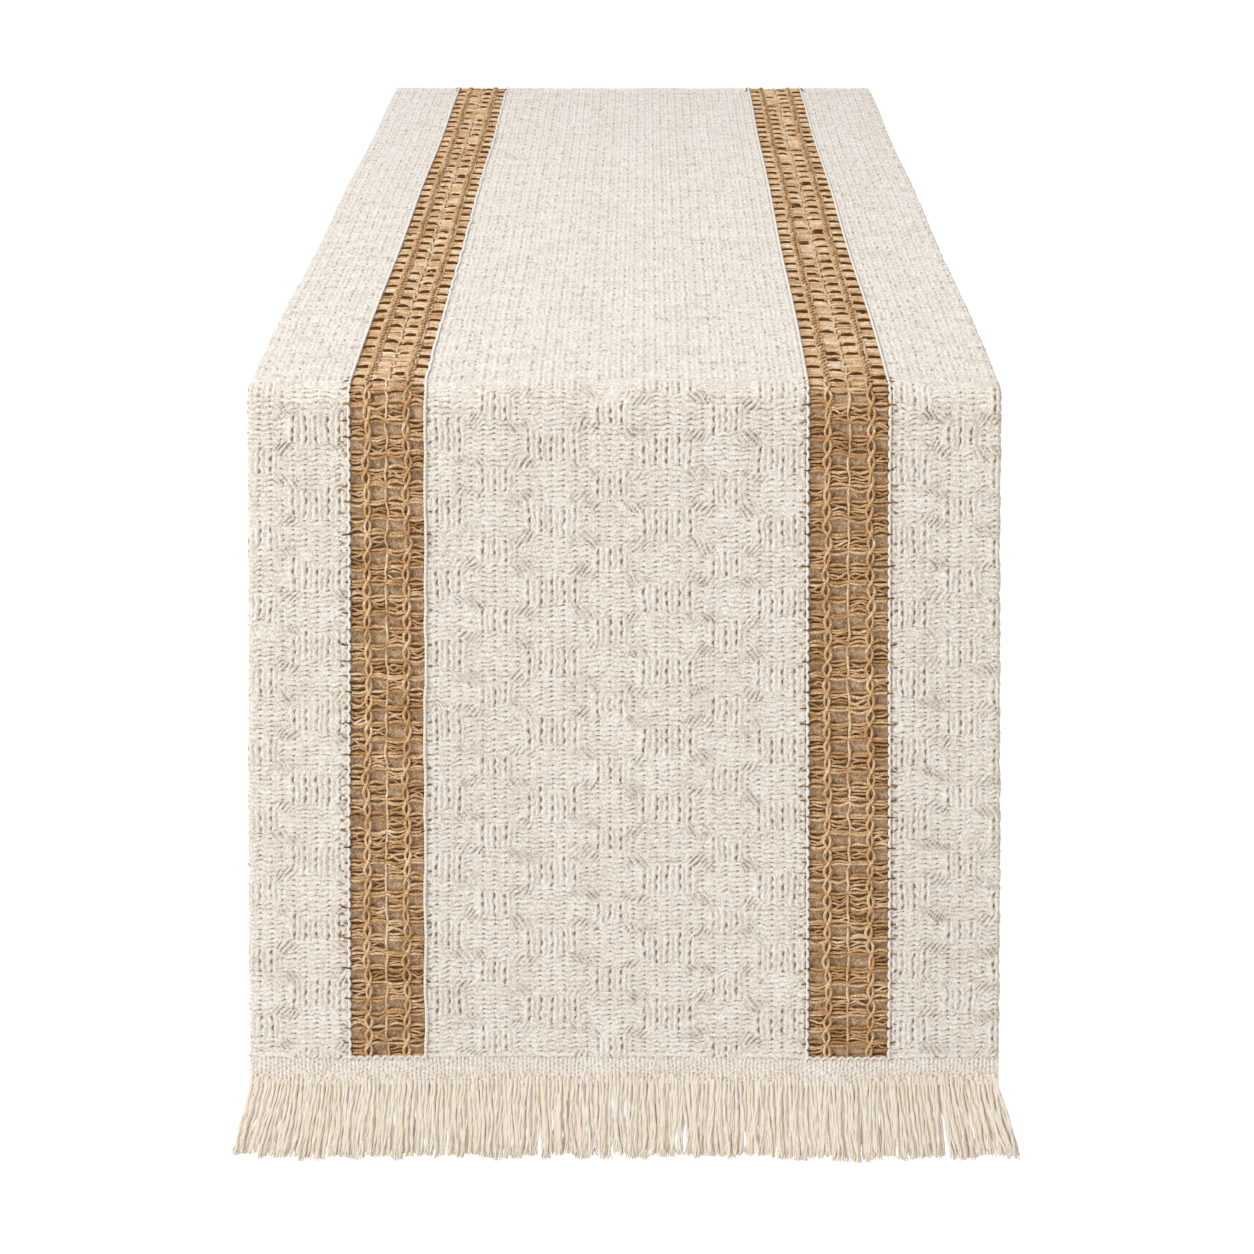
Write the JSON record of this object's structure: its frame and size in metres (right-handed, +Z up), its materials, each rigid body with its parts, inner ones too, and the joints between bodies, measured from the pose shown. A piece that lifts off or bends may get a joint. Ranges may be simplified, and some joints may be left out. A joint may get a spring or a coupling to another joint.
{
  "type": "table runner",
  "caption": "Woven table runner with three off-white cotton panels, two open-work jute stripes, ribbed hems and a short fringe, draped over a table and hanging at both ends.",
  "frame": {"origin": "underside of the stretch that lies on the table, at its centre", "axes": "+X across the runner to its right as seen from the near end, +Y along it from the near end to the far end, +Z up from the table"},
  "size_m": [0.3154, 0.9378, 0.3373],
  "materials": {
    "cotton": "matte, ribbed off-white cotton weave",
    "jute": "matte, open-work tan jute yarn",
    "backing": "matte, fine grey-brown weave",
    "sewing_yarn": "soft white cotton yarn",
    "fringe_yarn": "matte, loose ivory cotton yarn"
  },
  "bodies": {
    "table_span": {"left_panel_table": "cotton", "left_panel_near_bend": "cotton", "left_panel_far_bend": "cotton", "left_backing_table": "backing", "left_backing_near_bend": "backing", "left_backing_far_bend": "backing", "left_stripe_table": "jute", "left_stripe_near_bend": "jute", "left_stripe_far_bend": "jute", "centre_panel_table": "cotton", "centre_panel_near_bend": "cotton", "centre_panel_far_bend": "cotton", "right_backing_table": "backing", "right_backing_near_bend": "backing", "right_backing_far_bend": "backing", "right_stripe_table": "jute", "right_stripe_near_bend": "jute", "right_stripe_far_bend": "jute", "right_panel_table": "cotton", "right_panel_near_bend": "cotton", "right_panel_far_bend": "cotton", "left_outer_seam": "sewing_yarn", "left_inner_seam": "sewing_yarn", "right_inner_seam": "sewing_yarn", "right_outer_seam": "sewing_yarn"},
    "near_drop": {"left_panel_near_drop": "cotton", "left_backing_near_drop": "backing", "left_stripe_near_drop": "jute", "centre_panel_near_drop": "cotton", "right_backing_near_drop": "backing", "right_stripe_near_drop": "jute", "right_panel_near_drop": "cotton", "near_hem": "cotton"},
    "near_fringe": {"near_fringe": "fringe_yarn"},
    "far_drop": {"left_panel_far_drop": "cotton", "left_backing_far_drop": "backing", "left_stripe_far_drop": "jute", "centre_panel_far_drop": "cotton", "right_backing_far_drop": "backing", "right_stripe_far_drop": "jute", "right_panel_far_drop": "cotton", "far_hem": "cotton"},
    "far_fringe": {"far_fringe": "fringe_yarn"}
  },
  "joints": [
    {"name": "near_drop_fold", "type": "hinge", "parent": "table_span", "child": "near_drop", "pos_m": [0, -0.46446, -0.00054], "axis": [-1, 0, 0], "range_deg": [0, 90], "deforming": ["left_panel_near_bend", "left_backing_near_bend", "left_stripe_near_bend", "centre_panel_near_bend", "right_backing_near_bend", "right_stripe_near_bend", "right_panel_near_bend", "left_outer_seam", "left_inner_seam", "right_inner_seam", "right_outer_seam"]},
    {"name": "far_drop_fold", "type": "hinge", "parent": "table_span", "child": "far_drop", "pos_m": [0, 0.46446, -0.00054], "axis": [1, 0, 0], "range_deg": [0, 90], "deforming": ["left_panel_far_bend", "left_backing_far_bend", "left_stripe_far_bend", "centre_panel_far_bend", "right_backing_far_bend", "right_stripe_far_bend", "right_panel_far_bend", "left_outer_seam", "left_inner_seam", "right_inner_seam", "right_outer_seam"]},
    {"name": "near_fringe_swing", "type": "hinge", "parent": "near_drop", "child": "near_fringe", "pos_m": [0, -0.4665, -0.29938], "axis": [-1, 0, 0], "range_deg": [-60, 60]},
    {"name": "far_fringe_swing", "type": "hinge", "parent": "far_drop", "child": "far_fringe", "pos_m": [0, 0.4665, -0.29938], "axis": [1, 0, 0], "range_deg": [-60, 60]}
  ]
}
